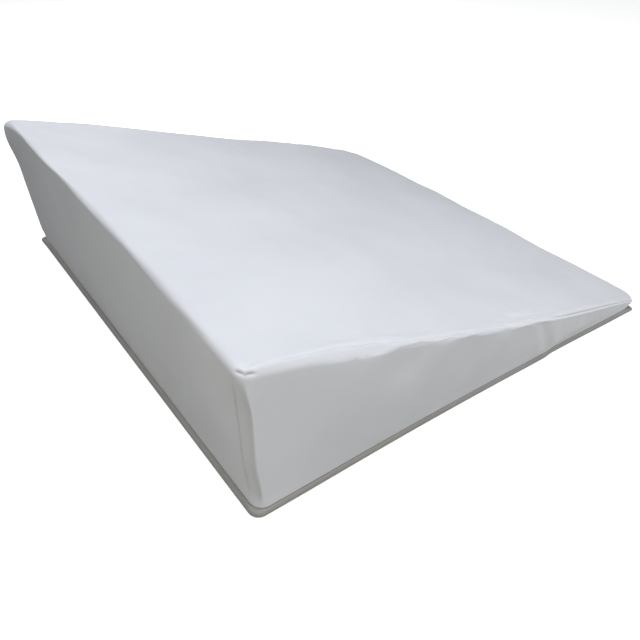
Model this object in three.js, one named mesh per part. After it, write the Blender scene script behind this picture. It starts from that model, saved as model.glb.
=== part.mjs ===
import * as THREE from 'three';

// A wedge bed cushion: a foam wedge in a close white cover, on a thin grey base panel.
// Millimetres. +Z is up and the base lies on Z = 0. The tall end is at -X, the thin end
// at +X, and the two triangular sides at -Y (near) and +Y (far).

// Overall size
const length = 610;
const width = 610;
const tallHeight = 177; // where the slope would meet the tall end without its soft edge
const thinNearHeight = 18.8; // the same at the near corner of the thin end
const thinFarHeight = 17.5; // and at its far corner

// Base panel
const baseThickness = 10;
const baseTipThickness = 4.5; // at the two tucked corners
const baseRimRadius = 2.5;
const baseShortfall = 5; // how far it ends short of the wedge at the thin end
const pieceGap = 0.3;

// Covered wedge
const wedgeInset = 1.5; // how far its straight sides lie inside the base panel's edge
const topRoll = 5; // radius of the soft edge round the sloped top
const nearTopRoll = 11; // at the near corner of the tall end
const nearTopRollReach = 305; // and how far from that corner it fades out
const farTopRoll = 12; // at the far corner of the tall end
const farTopRollReach = 60;
const footRoll = 1.5; // radius of the soft edge round the foot
const footTuck = 17; // how far the foot is drawn in at the two tucked corners
const footTuckRise = 12; // and how high the drawn-in part reaches
const footTuckReach = 34; // and how far along the sides it fades out
const tallLean = 3; // how far the foot of the tall end is drawn in under its top
const nearLean = 10; // how far the near side leans in at the top of the tall end
const nearThinReach = 3; // how far the thin end stands out at its near corner
const farThinReach = -4; // and at its far corner
const topCrown = 3; // rise of the top panel in the middle
const nearSag = 3.2; // dip of its near edge towards the thin end
const farSag = 1.2; // and of its far edge
const sagPlace = 0.52; // share of the length, from the tall end, where they dip most
const cornerDroop = 4; // how far its four corners are pulled down
const cornerDroopReach = 15; // and how fast that fades out
const sideBow = 1.5; // how far the side faces swell between foot and soft edge
const seamWidth = 4;
const seamDepth = 1;

// Counterclockwise from above. Each corner is followed by the side that leads to the next:
// bow is how far that side swells outwards at the foot, topBow how far at the top, and peak
// where along it both are largest.
const wedgeCorners = [
  { sideX: -1, sideY: -1, radius: 13, baseRadius: 12, bow: -3, topBow: 0, peak: 0.4 },
  { sideX: 1, sideY: -1, radius: 20, baseRadius: 4, bow: 0, topBow: 1, peak: 0.5 },
  { sideX: 1, sideY: 1, radius: 25, baseRadius: 25, bow: 0, topBow: 0.5, peak: 0.5 },
  { sideX: -1, sideY: 1, radius: 9, baseRadius: 7, bow: 0, topBow: -3.2, peak: 0.6 },
];
const tuckedCorners = [wedgeCorners[1], wedgeCorners[3]]; // the foot is drawn in at these
const baseCorners = wedgeCorners.map((corner) => ({ ...corner, radius: corner.baseRadius }));

const cornerSteps = 6;
const sideSteps = 22;
const quarter = Math.PI / 2;

// Where the cushion swells out or is drawn in: the middle of each swelling, how far it moves
// the surface along X and Y, and how fast it fades upwards and downwards (rise) and sideways
// (reach)
const swellings = [
  { x: -305, y: 305, z: 151, outX: -5.5, outY: 3.5, rise: 25, reach: 38 },
  { x: -305, y: -268, z: 168, outX: -2, outY: 0, rise: 40, reach: 48 },
  { x: 305, y: 305, z: 10, outX: -9, outY: 0, rise: 60, reach: 90 },
];

// A point on the rounded corner: turn goes from 0 to 1 round its quarter circle.
function cornerPoint(halfX, halfY, corners, index, inset, turn) {
  const corner = corners[index];
  const radius = Math.max(corner.radius - inset, 1);
  const angle = (2 + index + turn) * quarter;
  return new THREE.Vector2(
    corner.sideX * (halfX - inset - radius) + radius * Math.cos(angle),
    corner.sideY * (halfY - inset - radius) + radius * Math.sin(angle),
  );
}

// How far the side after a corner swells outwards at a share of its length: rise goes from 0
// at the foot to 1 at the top.
function sideBowAt(corner, part, rise) {
  return THREE.MathUtils.lerp(corner.bow, corner.topBow, rise) * hump(part, corner.peak);
}

// The outline of a rounded rectangle with bowed sides. insetAt gives how far each point lies
// inside it, from where the point would be on the straight-sided outline.
function outlineRing(halfX, halfY, corners, insetAt, rise = 0) {
  const ring = [];
  const place = (index, turn) => {
    const outer = cornerPoint(halfX, halfY, corners, index, 0, turn);
    return cornerPoint(halfX, halfY, corners, index, insetAt(outer), turn);
  };
  corners.forEach((corner, index) => {
    for (let step = 0; step <= cornerSteps; step += 1) {
      ring.push(place(index, step / cornerSteps));
    }
    const next = (index + 1) % corners.length;
    const outerStart = cornerPoint(halfX, halfY, corners, index, 0, 1);
    const outerEnd = cornerPoint(halfX, halfY, corners, next, 0, 0);
    const angle = (3 + index) * quarter;
    const outward = new THREE.Vector2(Math.cos(angle), Math.sin(angle));
    const along = outerEnd.clone().sub(outerStart).normalize();
    const start = place(index, 1).dot(along);
    const end = place(next, 0).dot(along);
    for (let step = 1; step < sideSteps; step += 1) {
      const part = step / sideSteps;
      const outer = outerStart.clone().lerp(outerEnd, part);
      const bow = sideBowAt(corner, part, rise);
      const point = along.clone().multiplyScalar(THREE.MathUtils.lerp(start, end, part));
      ring.push(point.addScaledVector(outward, outer.dot(outward) - insetAt(outer) + bow));
    }
  });
  return ring;
}

// Rings from the lowest to the highest, each a closed loop of points, become one closed solid
// with a centre point under the first ring and one over the last.
function solidFromRings(rings, bottom, top) {
  const count = rings[0].length;
  const points = [bottom, ...rings.flat(), top];
  const faces = [];
  for (let here = 0; here < count; here += 1) {
    const next = (here + 1) % count;
    faces.push(0, 1 + next, 1 + here);
    for (let row = 0; row < rings.length - 1; row += 1) {
      const low = 1 + row * count;
      const high = low + count;
      faces.push(low + here, low + next, high + next);
      faces.push(low + here, high + next, high + here);
    }
    const last = 1 + (rings.length - 1) * count;
    faces.push(points.length - 1, last + here, last + next);
  }
  const geometry = new THREE.BufferGeometry().setFromPoints(points);
  geometry.setIndex(faces);
  geometry.computeVertexNormals();
  return geometry;
}

const lift = (ring, heightAt) => ring.map((point) => (
  new THREE.Vector3(point.x, point.y, heightAt(point))
));

// A smooth rise from 0 to 1 and back to 0 over a side, highest at the share given by peak
function hump(part, peak) {
  const skew = Math.log(0.5) / Math.log(peak);
  return Math.sin(Math.PI * THREE.MathUtils.clamp(part, 0, 1) ** skew) ** 2;
}

// Height of the sloped top: a straight slope along X with a low crown in the middle, sloping
// edges that sag a little, and corners that are pulled down.
function slopeHeight(point) {
  const part = point.x / length + 0.5;
  const acrossX = Math.min((2 * point.x / length) ** 2, 1);
  const acrossY = Math.min((2 * point.y / width) ** 2, 1);
  const thin = THREE.MathUtils.lerp(thinNearHeight, thinFarHeight, point.y / width + 0.5);
  const straight = THREE.MathUtils.lerp(tallHeight, thin, part);
  const crown = topCrown * (1 - acrossX) * (1 - acrossY);
  const sag = (point.y < 0 ? nearSag : farSag) * hump(part, sagPlace) * acrossY;
  const away = Math.hypot(length / 2 - Math.abs(point.x), width / 2 - Math.abs(point.y));
  const droop = cornerDroop * Math.exp(-((away / cornerDroopReach) ** 2));
  return straight + crown - sag - droop;
}

// 1 at the tall end, fading to 0 over the given length
function nearTallEnd(point, reach) {
  return 1 - THREE.MathUtils.smoothstep(point.x + length / 2, 0, reach);
}

// 1 at the two tucked corners, fading to 0 along the sides that meet there
function nearTuckedCorner(point) {
  const away = tuckedCorners.map((corner) => (
    Math.hypot(point.x - corner.sideX * length / 2, point.y - corner.sideY * width / 2)
  ));
  return 1 - THREE.MathUtils.smoothstep(Math.min(...away), 6, footTuckReach);
}

// Draws the foot of the tall end in by moving its low points along X.
function leanTallEnd(point) {
  const drop = 1 - THREE.MathUtils.clamp(point.z / tallHeight, 0, 1);
  return point.setX(point.x + tallLean * drop * nearTallEnd(point, length / 2));
}

// Sets the thin end a little askew.
function skewThinEnd(point) {
  const thinShare = Math.max(2 * point.x / length, 0) ** 2;
  const reach = THREE.MathUtils.lerp(nearThinReach, farThinReach, point.y / width + 0.5);
  return point.setX(point.x + reach * thinShare);
}

// Leans the near side in towards its top, most at the tall end.
function leanNearSide(point) {
  const rise = THREE.MathUtils.clamp(point.z / tallHeight, 0, 1);
  const nearShare = 1 - THREE.MathUtils.smoothstep(point.y + width / 2, 0, width / 3);
  const lean = nearLean * rise * nearShare * nearTallEnd(point, length / 2);
  return point.setY(point.y + lean);
}

// Moves a point with the swellings.
function swell(point) {
  const { x, y, z } = point;
  swellings.forEach((swelling) => {
    const away = Math.hypot(x - swelling.x, y - swelling.y);
    const fade = ((z - swelling.z) / swelling.rise) ** 2 + (away / swelling.reach) ** 2;
    const share = Math.exp(-fade);
    point.x += swelling.outX * share;
    point.y += swelling.outY * share;
  });
  return point;
}

// Radius of the soft edge round the top, which is larger at the two corners of the tall end
function softRadius(point) {
  const nearAway = Math.hypot(point.x + length / 2, point.y + width / 2);
  const farAway = Math.hypot(point.x + length / 2, point.y - width / 2);
  const near = 1 - THREE.MathUtils.smoothstep(nearAway, 0, nearTopRollReach);
  const far = 1 - THREE.MathUtils.smoothstep(farAway, 0, farTopRollReach);
  return topRoll + (nearTopRoll - topRoll) * near + (farTopRoll - topRoll) * far;
}

function wedgeGeometry() {
  const halfX = length / 2 - wedgeInset;
  const halfY = width / 2 - wedgeInset;
  const foot = baseThickness + pieceGap;
  const bodyHeight = (point) => slopeHeight(point) - foot;
  const topRadius = (point) => Math.min(softRadius(point), bodyHeight(point) * 0.5);
  const footInset = (point) => THREE.MathUtils.lerp(footRoll, footTuck, nearTuckedCorner(point));
  const footRise = (point) => Math.min(
    THREE.MathUtils.lerp(footRoll, footTuckRise, nearTuckedCorner(point)),
    bodyHeight(point) * 0.45,
  );
  const outline = (insetAt, rise = 0) => (
    outlineRing(halfX, halfY, wedgeCorners, insetAt, rise)
  );
  const rings = [];

  // The flat foot, then its drawn-in edge
  const footRing = outline(footInset);
  [0.35, 0.7].forEach((share) => {
    rings.push(lift(footRing.map((point) => point.clone().multiplyScalar(share)), () => foot));
  });
  for (let step = 0; step <= 4; step += 1) {
    const angle = quarter * step / 4;
    const ring = outline((point) => footInset(point) * (1 - Math.sin(angle)));
    rings.push(lift(ring, (point) => foot + footRise(point) * (1 - Math.cos(angle))));
  }

  // The side faces, which swell a little between the foot and the soft edge
  for (let step = 1; step < 6; step += 1) {
    const part = step / 6;
    const bow = sideBow * Math.sin(Math.PI * part);
    const ring = outline((point) => -bow * Math.min(bodyHeight(point) / 60, 1), part);
    rings.push(lift(ring, (point) => THREE.MathUtils.lerp(
      foot + footRise(point),
      slopeHeight(point) - topRadius(point),
      part,
    )));
  }

  // The soft edge up to the sloped top
  for (let step = 0; step <= 7; step += 1) {
    const angle = quarter * step / 7;
    const ring = outline((point) => topRadius(point) * (1 - Math.cos(angle)), 1);
    rings.push(lift(ring, (point) => slopeHeight(point) - topRadius(point) * (1 - Math.sin(angle))));
  }

  // The sewn channel of the top panel's seam
  [[0.5, seamDepth], [1, 0]].forEach(([share, depth]) => {
    const ring = outline((point) => topRadius(point) + seamWidth * share, 1);
    rings.push(lift(ring, (point) => slopeHeight(point) - depth));
  });

  // The top panel
  const panelRing = outline((point) => topRadius(point) + seamWidth, 1);
  [0.93, 0.84, 0.73, 0.61, 0.48, 0.34, 0.18].forEach((share) => {
    rings.push(lift(panelRing.map((point) => point.clone().multiplyScalar(share)), slopeHeight));
  });

  const top = new THREE.Vector2(0, 0);
  const settle = (point) => swell(leanNearSide(skewThinEnd(leanTallEnd(point))));
  return solidFromRings(
    rings.map((ring) => ring.map(settle)),
    new THREE.Vector3(0, 0, foot),
    new THREE.Vector3(0, 0, slopeHeight(top)),
  );
}

// Thickness of the base panel, which is thinner at the tucked corners
function baseHeight(point) {
  return THREE.MathUtils.lerp(baseThickness, baseTipThickness, nearTuckedCorner(point));
}

function baseGeometry() {
  const halfX = (length - baseShortfall) / 2;
  const rings = [];
  for (let step = 0; step <= 6; step += 1) {
    const angle = quarter * (step / 3 - 1);
    const inset = baseRimRadius * (1 - Math.cos(angle));
    const share = (1 + Math.sin(angle)) / 2;
    const ring = outlineRing(halfX, width / 2, baseCorners, () => inset);
    ring.forEach((point) => point.setX(point.x - baseShortfall / 2));
    const lifted = lift(ring, (point) => share * baseHeight(point));
    rings.push(lifted.map((point) => swell(skewThinEnd(point))));
  }
  return solidFromRings(
    rings,
    new THREE.Vector3(0, 0, 0),
    new THREE.Vector3(0, 0, baseThickness),
  );
}

function clothPiece(name, geometry, color, roughness) {
  const material = new THREE.MeshStandardMaterial({ color, roughness, metalness: 0 });
  const piece = new THREE.Mesh(geometry, material);
  piece.name = name;
  return piece;
}

const wedgeBedCushion = new THREE.Group();
wedgeBedCushion.name = 'wedge_bed_cushion';
wedgeBedCushion.add(clothPiece('covered_wedge', wedgeGeometry(), 0xe2e4ea, 0.72));
wedgeBedCushion.add(clothPiece('base_panel', baseGeometry(), 0x8f8e8a, 0.85));

// The origin goes under the middle of the whole cushion.
const middle = new THREE.Box3().setFromObject(wedgeBedCushion).getCenter(new THREE.Vector3());
wedgeBedCushion.children.forEach((piece) => piece.geometry.translate(-middle.x, -middle.y, 0));

export default wedgeBedCushion;
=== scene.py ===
import math

import bpy
import numpy as np
from mathutils import Euler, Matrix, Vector


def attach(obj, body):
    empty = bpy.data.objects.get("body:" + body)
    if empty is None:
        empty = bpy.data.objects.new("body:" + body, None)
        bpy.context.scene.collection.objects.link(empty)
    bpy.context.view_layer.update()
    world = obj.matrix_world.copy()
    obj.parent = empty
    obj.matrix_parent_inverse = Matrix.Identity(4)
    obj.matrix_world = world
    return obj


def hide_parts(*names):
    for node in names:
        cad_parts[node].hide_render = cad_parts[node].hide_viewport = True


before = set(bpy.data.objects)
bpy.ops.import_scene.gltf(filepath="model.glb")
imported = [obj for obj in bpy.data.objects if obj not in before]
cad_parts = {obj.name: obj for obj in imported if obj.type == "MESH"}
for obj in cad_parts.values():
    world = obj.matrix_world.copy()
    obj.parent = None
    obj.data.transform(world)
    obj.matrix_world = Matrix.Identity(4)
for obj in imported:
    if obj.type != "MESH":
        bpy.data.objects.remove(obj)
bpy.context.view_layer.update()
quarter = math.pi / 2


# Shape helpers

# 0 below low, 1 above high, and 3t^2 - 2t^3 of the share t between them
def smooth(value, low, high):
    t = np.clip((value - low) / (high - low), 0, 1)
    return t * t * (3 - 2 * t)


# sine squared over half a turn, with part raised to a power that puts its top at peak
def hump(part, peak):
    skew = math.log(0.5) / math.log(peak)
    return np.sin(math.pi * np.clip(part, 0, 1) ** skew) ** 2


# a plus share of the way from a to b
def mix(a, b, share):
    return a + (b - a) * share


# e to the minus of distance over width, squared
def bell(distance, width):
    return np.exp(-(distance / width) ** 2)


crowding = 0.11    # how much closer together the stations are at both ends of a side


# The outline is a rounded square with bowed sides. A station on it is a corner number with
# the turn round that corner, or with the share of the side that follows it; the other is -1.
# Each share has crowding times the sine of its full turn taken off.
def outlineStations(cornerSteps, sideSteps):
    stations = []
    for corner in range(4):
        stations += [(corner, k / cornerSteps, -1) for k in range(cornerSteps + 1)]
        for k in range(1, sideSteps):
            part = k / sideSteps
            stations.append((corner, -1, part - crowding * math.sin(2 * math.pi * part)))
    return np.array(stations)


leastRadius = 0.001
cornerColumns = {"radius": 2, "baseRadius": 3, "bow": 4, "topBow": 5, "peak": 6, "tucked": 7}


# quarter circles round the corners, and between them straight lines pushed out by hump times
# a bow that goes from the foot's to the top's with rise; inset moves every point inwards
def outlineRing(stations, corners, radii, half, inset, rise=0):
    corner, turn, part = stations[:, 0].astype(int), stations[:, 1], stations[:, 2]
    inset = np.broadcast_to(inset, len(stations))
    r = np.maximum(radii[corner] - inset, leastRadius)
    angle = (2 + corner + turn) * quarter
    arcMiddle = corners[corner, :2] * (np.array(half) - inset[:, None] - r[:, None])
    ring = arcMiddle + r[:, None] * np.column_stack([np.cos(angle), np.sin(angle)])
    for k in range(4):
        side = np.flatnonzero((corner == k) & (turn < 0))
        out = np.round([math.cos((3 + k) * quarter), math.sin((3 + k) * quarter)])
        along = np.array([-out[1], out[0]])
        start, end = ring[side[0] - 1] @ along, ring[(side[-1] + 1) % len(ring)] @ along
        footBow, topBow, peak = corners[k, cornerColumns["bow"]:cornerColumns["peak"] + 1]
        bow = mix(footBow, topBow, rise) * hump(part[side], peak)
        reach = half[1 - k % 2] - inset[side] + bow
        ring[side] = np.outer(mix(start, end, part[side]), along) + np.outer(reach, out)
    return ring


# the cross product of the differences round the rings and up the rows
def gridNormals(grid):
    around = np.roll(grid, -1, 1) - np.roll(grid, 1, 1)
    normal = np.cross(around, np.gradient(grid, axis=0))
    return normal / np.maximum(np.linalg.norm(normal, axis=2, keepdims=True), 1e-12)


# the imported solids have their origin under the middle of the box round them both, which lies
# this far from the middle of the cushion's straight outline
middle = np.array((0.00064, -0.00081, 0))


# rings of points joined by quads, with a fan to one point under the first ring and one over
# the last
def closedMesh(name, grid, bottom, top):
    rows, count = grid.shape[:2]
    here = np.arange(count)
    following = (here + 1) % count
    low = 1 + np.arange(rows - 1)[:, None] * count
    quads = np.stack([low + here, low + following, low + count + following,
                      low + count + here], axis=2).reshape(-1, 4)
    last, peak = 1 + (rows - 1) * count, 1 + rows * count
    pairs = list(zip(here.tolist(), following.tolist()))
    fans = [(0, 1 + b, 1 + a) for a, b in pairs]
    fans += [(peak, last + a, last + b) for a, b in pairs]
    points = np.vstack([bottom, grid.reshape(-1, 3), top]) + middle
    mesh = bpy.data.meshes.new(name)
    mesh.from_pydata(points.tolist(), [], quads.tolist() + fans)
    mesh.shade_smooth()
    piece = bpy.data.objects.new(name, mesh)
    bpy.context.collection.objects.link(piece)
    return piece


# The covered wedge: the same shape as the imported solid, in metres

wedge = {
    "length": 0.610, "width": 0.610,
    "tallHeight": 0.177, "thinNear": 0.0188, "thinFar": 0.0175, "foot": 0.0103, "inset": 0.0015,
    "topRoll": 0.005, "footRoll": 0.0015,    # soft edges
    "nearTopRoll": 0.011, "nearRollReach": 0.305,    # the top one at the two tall corners
    "farTopRoll": 0.012, "farRollReach": 0.060,
    "tuck": 0.017, "tuckRise": 0.012, "tuckReach": (0.006, 0.034),    # foot, tucked corners
    "crown": 0.003, "nearSag": 0.0032, "farSag": 0.0012, "sagPlace": 0.52, "bow": 0.0015,
    "bowHeight": 0.06,    # a side that is lower bows less
    "droop": 0.004, "droopReach": 0.015,    # pull on the corners of the top
    "lean": 0.003, "nearLean": 0.010, "nearThinReach": 0.003, "farThinReach": -0.004,
}
# side in x, side in y, radius, radius of the grey rim (painted shadow), bow of the side that
# follows at the foot and at the top, place of the bow's peak, 1 where the foot is tucked in
corners = np.array([
    (-1, -1, 0.013, 0.012, -0.003, 0, 0.4, 0),
    (1, -1, 0.020, 0.004, 0, 0.001, 0.5, 1),
    (1, 1, 0.025, 0.025, 0, 0.0005, 0.5, 0),
    (-1, 1, 0.009, 0.007, 0, -0.0032, 0.6, 1),
])
# where the cushion swells out or is drawn in, in mm: middle in x, y and z, how far the
# surface moves in x and y, and how fast that fades upwards and sideways
swellings = [
    ((-305, 305, 151), (-5.5, 3.5), 25, 38),
    ((-305, -268, 168), (-2, 0), 40, 48),
    ((305, 305, 10), (-9, 0), 60, 90),
]
steps = {"corner": 16, "side": 212, "under": (0.4, 0.8), "footRoll": 6, "face": 26,
         "roll": 18, "band": 12, "bandWidth": 0.017, "panel": 25, "panelPower": 0.85}


# a straight fall from the tall end to the thin one, plus a low crown in the middle, less a
# sag along the two sloping edges and a pull at the corners
def slopeHeight(x, y):
    part = x / wedge["length"] + 0.5
    acrossX = np.minimum((2 * x / wedge["length"]) ** 2, 1)
    acrossY = np.minimum((2 * y / wedge["width"]) ** 2, 1)
    thin = mix(wedge["thinNear"], wedge["thinFar"], y / wedge["width"] + 0.5)
    straight = mix(wedge["tallHeight"], thin, part)
    crown = wedge["crown"] * (1 - acrossX) * (1 - acrossY)
    sag = np.where(y < 0, wedge["nearSag"], wedge["farSag"]) * hump(part, wedge["sagPlace"])
    away = np.hypot(wedge["length"] / 2 - np.abs(x), wedge["width"] / 2 - np.abs(y))
    return straight + crown - sag * acrossY - wedge["droop"] * bell(away, wedge["droopReach"])


# 1 at the tall end, falling smoothly to 0 at reach
def nearTallEnd(x, reach):
    return 1 - smooth(x + wedge["length"] / 2, 0, reach)


# 1 at the nearer tucked corner, falling smoothly to 0 over the tuck's reach
def nearTuckedCorner(ring):
    tucked = corners[corners[:, cornerColumns["tucked"]] == 1, :2] * wedge["length"] / 2
    away = np.linalg.norm(ring[:, None] - tucked, axis=2).min(axis=1)
    return 1 - smooth(away, *wedge["tuckReach"])


# radius of the soft edge round the top: topRoll, and near each corner of the tall end a
# smooth share of the difference to that corner's own
def softRadius(x, y):
    tallX, sideY = x + wedge["length"] / 2, wedge["width"] / 2
    near = 1 - smooth(np.hypot(tallX, y + sideY), 0, wedge["nearRollReach"])
    far = 1 - smooth(np.hypot(tallX, y - sideY), 0, wedge["farRollReach"])
    return (wedge["topRoll"] + (wedge["nearTopRoll"] - wedge["topRoll"]) * near
            + (wedge["farTopRoll"] - wedge["topRoll"]) * far)


mostTopRoll, mostFootRise = 0.5, 0.45    # of the side's height


# Rings under the foot, round its quarter circle, up the side, round the soft edge's quarter
# circle, over a band of even steps and in to the middle of the top panel. With each goes the
# distance from the soft edge's inner line, measured over the surface; -1 is below the soft
# edge and 1 on the panel.
def wedgeRows(stations):
    half = wedge["length"] / 2 - wedge["inset"], wedge["width"] / 2 - wedge["inset"]
    radii = corners[:, cornerColumns["radius"]]
    rows, reach = [], []

    def ringAt(inset, rise=0):
        return outlineRing(stations, corners, radii, half, inset, rise)

    def add(ring, height, distance):
        rows.append(np.column_stack([ring, np.broadcast_to(height, len(ring))]))
        reach.append(np.broadcast_to(distance, len(ring)))

    outer = ringAt(0)
    tall = slopeHeight(*outer.T) - wedge["foot"]
    topRoll = np.minimum(softRadius(*outer.T), tall * mostTopRoll)
    tucked = nearTuckedCorner(outer)
    footInset = mix(wedge["footRoll"], wedge["tuck"], tucked)
    footRise = np.minimum(mix(wedge["footRoll"], wedge["tuckRise"], tucked), tall * mostFootRise)

    for share in steps["under"]:
        add(ringAt(footInset) * share, wedge["foot"], -1)
    for k in range(steps["footRoll"] + 1):
        angle = quarter * k / steps["footRoll"]
        add(ringAt(footInset * (1 - math.sin(angle))),
            wedge["foot"] + footRise * (1 - math.cos(angle)), -1)
    for k in range(1, steps["face"]):
        part = k / steps["face"]
        bulge = wedge["bow"] * math.sin(math.pi * part)
        bulge = bulge * np.minimum(tall / wedge["bowHeight"], 1)
        ring = ringAt(-bulge, part)
        add(ring, mix(wedge["foot"] + footRise, slopeHeight(*ring.T) - topRoll, part), -1)
    for k in range(steps["roll"] + 1):
        angle = quarter * k / steps["roll"]
        ring = ringAt(topRoll * (1 - math.cos(angle)), 1)
        add(ring, slopeHeight(*ring.T) - topRoll * (1 - math.sin(angle)),
            -topRoll * (quarter - angle))
    for k in range(1, steps["band"] + 1):
        distance = steps["bandWidth"] * k / steps["band"]
        ring = ringAt(topRoll + distance, 1)
        add(ring, slopeHeight(*ring.T), distance)
    bandRing = ring
    for k in range(1, steps["panel"]):
        ring = bandRing * (1 - (k / steps["panel"]) ** steps["panelPower"])
        add(ring, slopeHeight(*ring.T), 1)
    return np.array(rows), np.array(reach)


# moves the points of the tall end inwards by lean times their drop below the tall height
def leanTallEnd(grid):
    drop = 1 - np.clip(grid[..., 2] / wedge["tallHeight"], 0, 1)
    grid[..., 0] += wedge["lean"] * drop * nearTallEnd(grid[..., 0], wedge["length"] / 2)


# sets the thin end askew: a reach that goes evenly from the near side's to the far side's,
# times the square of the share from the middle to the thin end
def skewThinEnd(grid):
    thinShare = np.maximum(2 * grid[..., 0] / wedge["length"], 0) ** 2
    across = grid[..., 1] / wedge["width"] + 0.5
    reach = mix(wedge["nearThinReach"], wedge["farThinReach"], across)
    grid[..., 0] += reach * thinShare


# moves the near side inwards by nearLean times the share of the tall height, fading over a
# third of the width and half of the length
def leanNearSide(grid):
    rise = np.clip(grid[..., 2] / wedge["tallHeight"], 0, 1)
    nearShare = 1 - smooth(grid[..., 1] + wedge["width"] / 2, 0, wedge["width"] / 3)
    tallShare = nearTallEnd(grid[..., 0], wedge["length"] / 2)
    grid[..., 1] += wedge["nearLean"] * rise * nearShare * tallShare


# moves the surface with the swellings, by a bell curve in height and one in distance
def swell(grid):
    start = grid.copy() * 1000
    for (x, y, z), out, rise, reach in swellings:
        away = np.hypot(start[..., 0] - x, start[..., 1] - y)
        share = bell(start[..., 2] - z, rise) * bell(away, reach)
        grid[..., :2] += share[..., None] * np.array(out) / 1000


# The seam that joins the near side to the tall end runs up the near side: how far it is from
# the tall end at some heights, in mm. From there the cloth curves back to the tall end.
cornerSeam = {
    "heights": [20, 50, 70, 100, 130, 160],
    "places": [7.5, 6.0, 4.8, 5.8, 6.6, 4.8],
    "turn": 24,    # degrees of the curve between the tall end and the seam
    "shade": 0.12, "shadePlace": 0.003, "shadeWidth": 0.0028,    # painted shade on the cloth just before the seam
    "before": 0.040,    # length of the tall end that is reshaped
    "bottom": (0.012, 0.030),    # heights over which the seam's bend comes in, from the foot up
    "top": (0.140, 0.166),    # and over which it goes again
}


# Points near the corner move onto a new line at the same share of its length: straight along
# the tall end, a curve of radius place / (1 - cos turn) up to the seam, and straight along the
# near side. Returns the painted shade beside the seam, a bell curve of the distance along that
# line.
def bendAtSeam(grid, reach, stations):
    radius, before = corners[0, cornerColumns["radius"]], cornerSeam["before"]
    near = wedge["inset"] - wedge["width"] / 2
    onArc = (stations[:, 0] == 0) & (stations[:, 1] > 0)
    onTall = (stations[:, 0] == 3) & (stations[:, 2] > 0.5)
    columns = np.flatnonzero((onArc | onTall) & (grid[:, :, 1].min(0) < near + before))
    wide = np.clip(stations[columns, 1], 0, 1) * quarter
    height = grid[:, columns, 2]
    forward = np.clip(near + before - grid[:, columns, 1], 0, before - radius)
    walked = forward + radius * wide

    place = np.interp(height * 1000, cornerSeam["heights"], cornerSeam["places"]) / 1000
    turn = math.radians(cornerSeam["turn"])
    curve = place / (1 - math.cos(turn))
    straight = before - curve * math.sin(turn)
    whole = straight + curve * turn + radius - place
    walked *= whole / (before - radius + radius * quarter)
    angle = np.clip((walked - straight) / curve, 0, turn)
    alongNear = np.maximum(walked - straight - curve * turn, 0)
    moveX = curve * (1 - np.cos(angle)) + alongNear - radius * (1 - np.cos(wide))
    moveY = forward + radius * np.sin(wide) - np.minimum(walked, straight)
    moveY -= curve * np.sin(angle)
    strength = smooth(height, *cornerSeam["bottom"]) * (1 - smooth(height, *cornerSeam["top"]))
    strength *= (reach[:, columns] < 0) * (grid[:, columns, 1] < near + before)
    grid[:, columns, 0] += moveX * strength
    grid[:, columns, 1] += moveY * strength
    shade = np.zeros(grid.shape[:2])
    off = walked - straight - curve * turn + cornerSeam["shadePlace"]
    shade[:, columns] = bell(off, cornerSeam["shadeWidth"]) * strength
    return shade * cornerSeam["shade"]


# Folds in the cover: face, start and end on it in mm, half width in mm, depth in mm.
# A place on the top is x, y and on the near side x, z.
# The pinch where the three panels meet at the near corner also gets painted shade.
pinch = [
    ("top", (-302.8, -284.5), (-297.6, -290.6), 0.9, 1.3),
    ("top", (-298.2, -290.8), (-289, -292.6), 0.9, 1.4),
]
pinchShade, pinchNarrower = 0.85, 0.7
folds = [
    *pinch,
    # the long crease down the near side
    ("near", (72, 74), (90, 48), 5.0, 1.2),
    ("near", (90, 50), (112, 14), 6.5, 1.6),
    # puckers on the top beside the near seam
    ("top", (18, -282), (40, -297), 2.2, 0.9),
    ("top", (34, -280), (56, -298), 2.2, 0.9),
    ("top", (54, -279), (74, -300), 2.4, 1.0),
    ("top", (-8, -286), (18, -298), 2.2, 0.5),
    ("top", (96, -286), (104, -300), 2.6, 0.5),
    # puckers on the top beside the far seam
    ("top", (3, 280), (6, 240), 3.4, 0.8),
    ("top", (40, 286), (48, 258), 3.2, 0.7),
    ("top", (62, 288), (68, 262), 3.2, 0.7),
    ("top", (92, 288), (97, 250), 3.6, 0.9),
    ("top", (128, 286), (124, 245), 3.6, 0.7),
]
faceAxes = {  # the two coordinates a fold is placed in, and the way the face looks
    "top": ((0, 1), (0, 0, 1)),
    "near": ((0, 2), (0, -1, 0)),
}
foldForm = {"facing": (0.25, 0.7), "ridge": 0.35, "ridgePlace": 2.1,    # places in half widths
            "atEnds": 0.35}    # share of the depth that is left at both ends


# a trough with a low ridge on either side, bell shaped across, along the line from start to
# end, only where the surface looks the face's way
def foldRelief(grid, normal, face, start, end, width, depth):
    axes, out = faceAxes[face]
    facing = smooth(normal @ np.array(out, float), *foldForm["facing"])
    start, end, width = np.array(start) / 1000, np.array(end) / 1000, width / 1000
    way = end - start
    place = grid[..., axes] - start
    share = np.clip(place @ way / (way @ way), 0, 1)
    off = np.linalg.norm(place - share[..., None] * way, axis=-1)
    strength = foldForm["atEnds"] + (1 - foldForm["atEnds"]) * np.sin(math.pi * share)
    shape = -bell(off, width)
    shape += foldForm["ridge"] * bell(off - foldForm["ridgePlace"] * width, width)
    return depth / 1000 * shape * strength * facing


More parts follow.
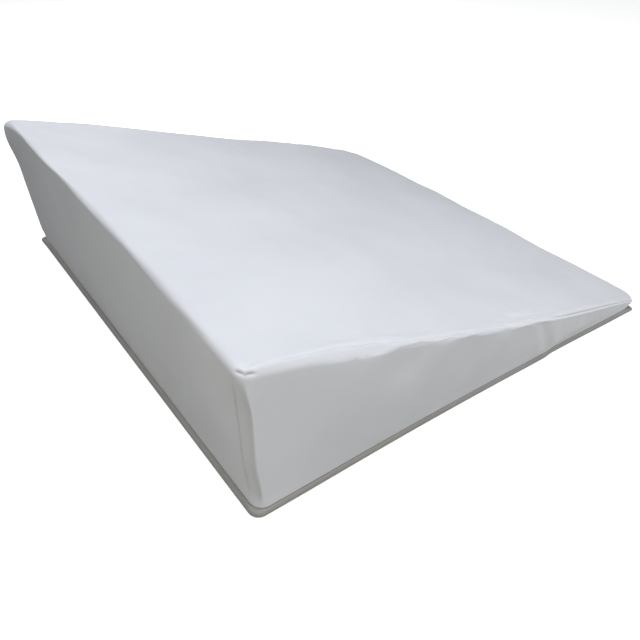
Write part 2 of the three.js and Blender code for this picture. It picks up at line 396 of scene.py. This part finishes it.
# The seams along the two sloping edges: a channel, a welt outside it, and the tucks that the
# thread pulls in. The tucks are closer together and deeper towards the thin end.
seam = {
    "width": 0.0012, "depth": 0.0011,
    "welt": 0.0005, "weltPlace": 0.0032, "weltWidth": 0.0022,
    "tallFade": 0.016, "thinFade": (0.278, 0.296),    # where the seam ends
    "tuckRange": (-0.28, 0.275), "tuckSpacing": (0.009, 0.034), "spacingChange": (0.6, 1.4),
    "tuckWidth": (0.0014, 0.0030), "tuckSlant": (-0.6, 0.6),
    "tuckLength": 0.010, "lengthChange": (0.5, 1.4),
    "tuckDepth": 0.00045, "depthChange": (0.3, 1.0), "tallDepth": 0.35, "thinDepth": 2.6,
}


# how far past the soft edge's inner line the seam runs, in mm, at some shares of the length:
# it starts on the soft edge, creeps over it again, and slips down at the fold
seamWay = {"shares": [0, 0.08, 0.17, 0.62, 0.69, 1],
           "places": [-6.5, -2.8, 0.4, -3.0, -5.8, -5.8]}


# straight lines between the places in the table
def seamPlace(x):
    return np.interp(x / wedge["length"] + 0.5, seamWay["shares"], seamWay["places"]) / 1000


# Minus a bell curve across the seam, plus a wider one outside it for the welt, less for each
# tuck the product of one bell curve along the seam and one across it.
def seamRelief(grid, reach, stations, rng):
    x, y = grid[..., 0], grid[..., 1]
    sloping = np.isin(stations[:, 0], (0, 2)) & (stations[:, 2] > 0)
    onEdge = np.where(sloping, 1.0, 0) * (1 - nearTallEnd(x, seam["tallFade"]))
    onEdge *= 1 - smooth(x, *seam["thinFade"])
    off = reach - seamPlace(x)
    relief = -seam["depth"] * bell(off, seam["width"])
    relief += seam["welt"] * bell(off + seam["weltPlace"], seam["weltWidth"])
    tucks = np.zeros_like(x)
    for side in (-1, 1):
        place, end = seam["tuckRange"]
        while place < end:
            thinShare = place / wedge["length"] + 0.5
            width = rng.uniform(*seam["tuckWidth"])
            slant = rng.uniform(*seam["tuckSlant"])
            length = seam["tuckLength"] * rng.uniform(*seam["lengthChange"])
            depth = seam["tuckDepth"] * rng.uniform(*seam["depthChange"])
            depth = depth * (seam["tallDepth"] + seam["thinDepth"] * thinShare ** 3)
            across = x - place - slant * off
            tucks += np.where(y * side > 0, depth * bell(across, width) * bell(off, length), 0)
            tight, loose = seam["tuckSpacing"]
            place += mix(loose, tight, thinShare ** 2) * rng.uniform(*seam["spacingChange"])
    return (relief - tucks) * onEdge


# wave length and height of the slow swells, and how many waves there are of each length
swells = ((0.26, 0.00055), (0.17, 0.00045), (0.11, 0.00030), (0.07, 0.00018))
wavesEach, waveShare = 3, 1.5


# slow swells in the foam and cloth: the sum of sine waves of seeded direction and phase, each
# of its height over waveShare
def swellRelief(grid, rng):
    relief = np.zeros(grid.shape[:2])
    for length, height in swells:
        for wave in range(wavesEach):
            way = rng.normal(size=3)
            way /= np.linalg.norm(way)
            turn = grid @ way * 2 * math.pi / length + rng.uniform(0, 2 * math.pi)
            relief += height / waveShare * np.sin(turn)
    return relief


# the foot steps inwards at one place on the near side, where the cloth is bunched
footStep = {"start": 0.110, "end": 0.132, "fade": (0.14, 0.29), "depth": 0.0018,
            "side": (0.27, 0.295), "bottom": 0.010, "height": 0.030}


# depth times three smooth steps: along the side, towards the side and up from the foot
def stepFoot(grid):
    x, y, z = grid[..., 0], grid[..., 1], grid[..., 2]
    along = smooth(x, footStep["start"], footStep["end"])
    along = along * (1 - smooth(x, *footStep["fade"]))
    onSide = smooth(-y, *footStep["side"])
    onSide = onSide * (1 - smooth(z, footStep["bottom"], footStep["height"]))
    grid[..., 1] += footStep["depth"] * along * onSide


# The cover is a little long for its foam: a cloth simulation of every second point, held at
# the foot, the corners and the seams, loosens it between them.
drape = {
    "every": 2, "frames": 10, "pressure": 0.05, "slack": 0.0025, "bending": 0.2,
    "most": 0.0009,    # the firm foam lets no point move further
    "corner": (0.040, 0.120),    # distance from a corner over which it comes in
    "panel": (0.19, 0.27),    # and distance from the middle of the top
    "held": 0.006,    # width of the band along a seam that the thread holds
    "footHeld": 0.003, "panelHeld": 0.12,
    "left": (2, 6),    # rows at the bottom and top of the grid that it leaves out
}


# true in a band along each seam, round the corners, at the foot and in the panel's middle
def heldPoints(grid, reach, stations):
    along = grid[..., 0]
    sloping = np.isin(stations[:, 0], (0, 2)) & (stations[:, 2] > 0)
    bySeam = (np.abs(reach - seamPlace(along)) < drape["held"] / 2) & sloping
    atCorner = stations[:, 2] < 0
    atFoot = grid[..., 2] < wedge["foot"] + drape["footHeld"]
    inMiddle = np.abs(grid[..., :2]).max(-1) < drape["panelHeld"]
    return bySeam | atCorner | atFoot | (inMiddle & (reach > 0.5))


# How far the simulated cloth moves each point: most times the tanh of the move over most,
# spread evenly between the simulated points, and faded near corners and in the panel's middle.
def drapeOffset(grid, reach, stations):
    every = drape["every"]
    rows = np.arange(drape["left"][0], len(grid) - drape["left"][1], every)
    coarse = grid[rows][:, ::every]
    held = heldPoints(grid, reach, stations)[rows][:, ::every]
    cloth = closedMesh("drape", coarse, coarse[0].mean(0), coarse[-1].mean(0))
    pins = cloth.vertex_groups.new(name="held")
    pins.add([0, 1 + held.size], 1.0, "ADD")
    pins.add((1 + np.flatnonzero(held.ravel())).tolist(), 1.0, "ADD")
    sewn = cloth.modifiers.new("cloth", "CLOTH")
    sewn.settings.vertex_group_mass = "held"
    sewn.settings.use_pressure = True
    sewn.settings.uniform_pressure_force = drape["pressure"]
    sewn.settings.shrink_min = -drape["slack"]
    sewn.settings.bending_stiffness = drape["bending"]
    sewn.settings.effector_weights.gravity = 0
    sewn.collision_settings.use_collision = False
    for frameNumber in range(1, drape["frames"] + 1):
        bpy.context.scene.frame_set(frameNumber)
    settled = cloth.evaluated_get(bpy.context.evaluated_depsgraph_get())
    after = np.empty(len(settled.data.vertices) * 3)
    settled.data.vertices.foreach_get("co", after)
    before = np.empty(len(cloth.data.vertices) * 3)
    cloth.data.vertices.foreach_get("co", before)
    offset = (after - before).reshape(-1, 3)[1:-1].reshape(coarse.shape)
    bpy.data.objects.remove(cloth)
    bpy.context.scene.frame_set(1)
    size = np.linalg.norm(offset, axis=-1, keepdims=True)
    mean, largest = (size.mean() * 1000).round(2), (size.max() * 1000).round(2)
    print("drape before its cap: mean", mean, "and largest", largest, "mm")
    offset *= drape["most"] * np.tanh(size / drape["most"]) / np.maximum(size, 1e-9)
    wide = np.zeros((len(rows), grid.shape[1], 3))
    for k in range(every):
        wide[:, k::every] = mix(offset, np.roll(offset, -1, 1), k / every)
    full = np.zeros_like(grid)
    for row in range(rows[0], rows[-1] + 1):
        low = (row - rows[0]) // every
        share = (row - rows[low]) / every
        full[row] = mix(wide[low], wide[min(low + 1, len(rows) - 1)], share)
    onPanel = np.maximum(np.abs(grid[..., 0]), np.abs(grid[..., 1]))
    loose = np.where(reach > 0, smooth(onPanel, *drape["panel"]), 1)
    x, y = np.abs(grid[..., 0]), np.abs(grid[..., 1])
    fromCorner = np.hypot(wedge["length"] / 2 - x, wedge["width"] / 2 - y)
    return full * (loose * smooth(fromCorner, *drape["corner"]))[..., None]


seed = 7
pinchScale = 1000    # a depth of 1 m, so that the shade runs from 0 to 1
footClear = (0.010, 0.022)    # heights over which the relief comes in above the foot
rng = np.random.default_rng(seed)
stations = outlineStations(steps["corner"], steps["side"])
grid, reach = wedgeRows(stations)
shade = bendAtSeam(grid, reach, stations)
leanTallEnd(grid)
skewThinEnd(grid)
leanNearSide(grid)
swell(grid)
normal = gridNormals(grid)
relief = seamRelief(grid, reach, stations, rng)
for fold in folds:
    relief += foldRelief(grid, normal, *fold)
# the pinch's trough is added to the shade attribute as painted shade
for face, start, end, width, _ in pinch:
    mark = foldRelief(grid, normal, face, start, end, width * pinchNarrower, pinchScale)
    shade += pinchShade * np.clip(-mark, 0, 1)
above = smooth(grid[..., 2], *footClear)
grid += normal * ((relief + swellRelief(grid, rng)) * above)[..., None]
grid += drapeOffset(grid, reach, stations)
stepFoot(grid)
wedgePiece = closedMesh(
    "wedge_cover", grid, (0, 0, wedge["foot"]), (0, 0, slopeHeight(0.0, 0.0)))
# the shade attribute is painted shade: beside the corner seam and in the pinch
shadeValues = np.concatenate([[0], np.clip(shade, 0, 1).ravel(), [0]])
wedgePiece.data.attributes.new("shade", "FLOAT", "POINT").data.foreach_set("value", shadeValues)
print("wedge cover", len(wedgePiece.data.polygons), "faces")


# The grey rim round the foot: a dark sheet that stands for the shadow line under the cushion,
# painted shadow

# sizes of the dark rim that stands for the shadow line along the foot (painted shadow)
base = {
    "halfLength": 0.3025, "halfWidth": 0.305, "shift": -0.0025,
    "thickness": 0.010, "tipThickness": 0.0045,    # thinner at the tucked corners
    "rim": 0.0025, "rimSteps": 10, "inner": (0.99, 0.97, 0.93, 0.8, 0.5),
    "cornerSteps": 10, "sideSteps": 160,
}


# half an ellipse round the rim, with flat faces under and over it
def baseRows(stations):
    radii = corners[:, cornerColumns["baseRadius"]]
    half = base["halfLength"], base["halfWidth"]
    rows = []
    for angle in np.linspace(-quarter, quarter, base["rimSteps"] + 1):
        inset = base["rim"] * (1 - math.cos(angle))
        ring = outlineRing(stations, corners, radii, half, inset) + (base["shift"], 0)
        height = mix(base["thickness"], base["tipThickness"], nearTuckedCorner(ring))
        rows.append(np.column_stack([ring, height * (1 + math.sin(angle)) / 2]))
    under = [rows[0] * (share, share, 1) for share in base["inner"][::-1]]
    over = [rows[-1] * (share, share, 1) for share in base["inner"]]
    for row in over:
        row[:, 2] = mix(base["thickness"], base["tipThickness"], nearTuckedCorner(row[:, :2]))
    return np.array(under + rows + over)


baseGrid = baseRows(outlineStations(base["cornerSteps"], base["sideSteps"]))
skewThinEnd(baseGrid)
swell(baseGrid)
stepFoot(baseGrid)
shadowRimPiece = closedMesh("painted_shadow_rim", baseGrid, (0, 0, 0), (0, 0, base["thickness"]))
print("base cloth", len(shadowRimPiece.data.polygons), "faces")


# Materials

# a material with its nodes, its links and its shader
def newMaterial(name):
    material = bpy.data.materials.new(name)
    material.use_nodes = True
    nodes, links = material.node_tree.nodes, material.node_tree.links
    return material, nodes, links, nodes["Principled BSDF"]


# a noise from 0 to 1 over the coordinates
def noiseNode(nodes, links, coordinates, scale, detail):
    node = nodes.new("ShaderNodeTexNoise")
    node.inputs["Scale"].default_value = scale
    node.inputs["Detail"].default_value = detail
    links.new(coordinates, node.inputs["Vector"])
    return node.outputs["Fac"]


# a colour that goes evenly from stop to stop as the value does
def rampNode(nodes, links, value, stops):
    node = nodes.new("ShaderNodeValToRGB")
    for element, (place, colour) in zip(node.color_ramp.elements, stops):
        element.position = place
        element.color = (*colour, 1)
    links.new(value, node.inputs["Fac"])
    return node.outputs["Color"]


# a normal tilted by the slope of height, on top of the one below
def bumpNode(nodes, links, height, strength, distance, below=None):
    node = nodes.new("ShaderNodeBump")
    node.inputs["Strength"].default_value = strength
    node.inputs["Distance"].default_value = distance
    links.new(height, node.inputs["Height"])
    if below:
        links.new(below, node.inputs["Normal"])
    return node.outputs["Normal"]


cloudEnds = (0.35, 0.65)    # noise at which the cloth is dark, and light
# the near-black colour below is painted shade, mixed in beside the corner seam and in the pinch
cover = {
    "light": (0.70, 0.71, 0.74), "dark": (0.655, 0.665, 0.70), "paintedShade": (0.20, 0.19, 0.19),
    "roughness": 0.7, "sheen": 0.15, "sheenRoughness": 0.5,
    "cloud": 9, "nap": 700, "drift": 60,    # sizes of the patterns, larger is finer
    "napBump": (0.3, 0.0004), "driftBump": (0.25, 0.0008),    # strength and distance
}


# light and dark cloth mixed by a noise, darkened towards the painted shade colour by the shade
# attribute, with a slow and a fine noise as bump
def coverMaterial():
    material, nodes, links, shader = newMaterial("white_cover")
    place = nodes.new("ShaderNodeTexCoord").outputs["Object"]
    cloud = noiseNode(nodes, links, place, cover["cloud"], 4)
    stops = list(zip(cloudEnds, (cover["dark"], cover["light"])))
    colour = rampNode(nodes, links, cloud, stops)
    paintedShade = nodes.new("ShaderNodeAttribute")
    paintedShade.attribute_name = "shade"
    shaded = nodes.new("ShaderNodeMix")
    shaded.data_type = "RGBA"
    links.new(paintedShade.outputs["Fac"], shaded.inputs["Factor"])
    links.new(colour, shaded.inputs["A"])
    shaded.inputs["B"].default_value = (*cover["paintedShade"], 1)
    links.new(shaded.outputs["Result"], shader.inputs["Base Color"])
    nap = noiseNode(nodes, links, place, cover["nap"], 2)
    drift = noiseNode(nodes, links, place, cover["drift"], 3)
    soft = bumpNode(nodes, links, drift, *cover["driftBump"])
    links.new(bumpNode(nodes, links, nap, *cover["napBump"], soft), shader.inputs["Normal"])
    shader.inputs["Roughness"].default_value = cover["roughness"]
    shader.inputs["Sheen Weight"].default_value = cover["sheen"]
    shader.inputs["Sheen Roughness"].default_value = cover["sheenRoughness"]
    return material


# the dark greys of the painted shadow rim under the foot
panel = {
    "light": (0.36, 0.352, 0.335), "dark": (0.325, 0.318, 0.302), "roughness": 0.85,
    "cloud": 14, "weave": 900, "weaveBump": (0.4, 0.0004),
}


# painted shadow: light and dark grey mixed by a noise, with a fine noise as bump
def shadowRimMaterial():
    material, nodes, links, shader = newMaterial("grey_base")
    place = nodes.new("ShaderNodeTexCoord").outputs["Object"]
    cloud = noiseNode(nodes, links, place, panel["cloud"], 4)
    stops = list(zip(cloudEnds, (panel["dark"], panel["light"])))
    colour = rampNode(nodes, links, cloud, stops)
    links.new(colour, shader.inputs["Base Color"])
    weave = noiseNode(nodes, links, place, panel["weave"], 2)
    links.new(bumpNode(nodes, links, weave, *panel["weaveBump"]), shader.inputs["Normal"])
    shader.inputs["Roughness"].default_value = panel["roughness"]
    return material


wedgePiece.data.materials.append(coverMaterial())
shadowRimPiece.data.materials.append(shadowRimMaterial())
print("cover and base materials")

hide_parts("covered_wedge")
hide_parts("base_panel")
for piece, slot in ((wedgePiece, "white_cover"), (shadowRimPiece, "grey_base")):
    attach(piece, "root")


# Floor, light and camera

ground = {"side": 6, "drop": 0.0002, "colour": 0.82, "roughness": 0.9, "glow": 0.8}


# a square floor that glows a little and lies just under the part
def floorPiece():
    mesh = bpy.data.meshes.new("floor")
    side = ground["side"]
    mesh.from_pydata([(-side, -side, 0), (side, -side, 0), (side, side, 0),
                      (-side, side, 0)], [], [(0, 1, 2, 3)])
    floor = bpy.data.objects.new("floor", mesh)
    floor.location.z = -ground["drop"]
    bpy.context.collection.objects.link(floor)
    material, nodes, links, shader = newMaterial("pale_floor")
    shader.inputs["Base Color"].default_value = (*[ground["colour"]] * 3, 1)
    shader.inputs["Roughness"].default_value = ground["roughness"]
    shader.inputs["Emission Color"].default_value = (1, 1, 1, 1)
    shader.inputs["Emission Strength"].default_value = ground["glow"]
    mesh.materials.append(material)
    floor.visible_diffuse = False


# a round lamp at place that faces aim
def areaLight(name, place, aim, size, power, colour):
    light = bpy.data.lights.new(name, "AREA")
    light.shape = "DISK"
    light.size, light.energy, light.color = size, power, colour
    lamp = bpy.data.objects.new(name, light)
    lamp.location = place
    way = lamp.location - Vector(aim)
    lamp.rotation_euler = way.to_track_quat("Z", "Y").to_euler()
    bpy.context.collection.objects.link(lamp)


floorPiece()
areaLight("overhead", (0, 0, 2.6), (0, 0, 0), 2.4, 13, (0.842, 0.907, 1))
areaLight("tall_top", (-0.30, -0.10, 1.5), (-0.2, -0.05, 0.1), 1.0, 14.7, (0.954, 0.968, 1))
areaLight("near_side", (0.6, -1.8, 0.9), (0, 0, 0.05), 1.2, 19.4, (0.996, 1, 0.988))
areaLight("far_side", (0.1, 1.9, 0.2), (0, 0.3, 0.05), 1.2, 14, (1, 1, 1))
areaLight("low_tall", (-0.95, -0.55, 0.10), (-0.3, -0.2, 0.03), 0.4, 2.05, (1, 0.984, 0.881))
skyStrength = 0.05
world = bpy.data.worlds.new("studio")
world.use_nodes = True
world.node_tree.nodes["Background"].inputs["Color"].default_value = (1, 1, 1, 1)
world.node_tree.nodes["Background"].inputs["Strength"].default_value = skyStrength
bpy.context.scene.world = world
bpy.context.scene.view_settings.view_transform = "Standard"

view = {"place": (-0.4485, -0.5684, 0.4489), "turn": (45.243, -2.073, -35.898),
        "lens": 32.41, "sensor": 36, "clip": 0.05, "shift": (0.0089, 0.1333)}
camera = bpy.data.cameras.new("camera")
camera.lens, camera.sensor_width = view["lens"], view["sensor"]
camera.shift_x, camera.shift_y = view["shift"]
camera.clip_start = view["clip"]
cameraPiece = bpy.data.objects.new("camera", camera)
cameraPiece.location = np.array(view["place"]) + middle
cameraPiece.rotation_euler = Euler([math.radians(turn) for turn in view["turn"]])
bpy.context.collection.objects.link(cameraPiece)
bpy.context.scene.camera = cameraPiece
print("floor, lights and camera")
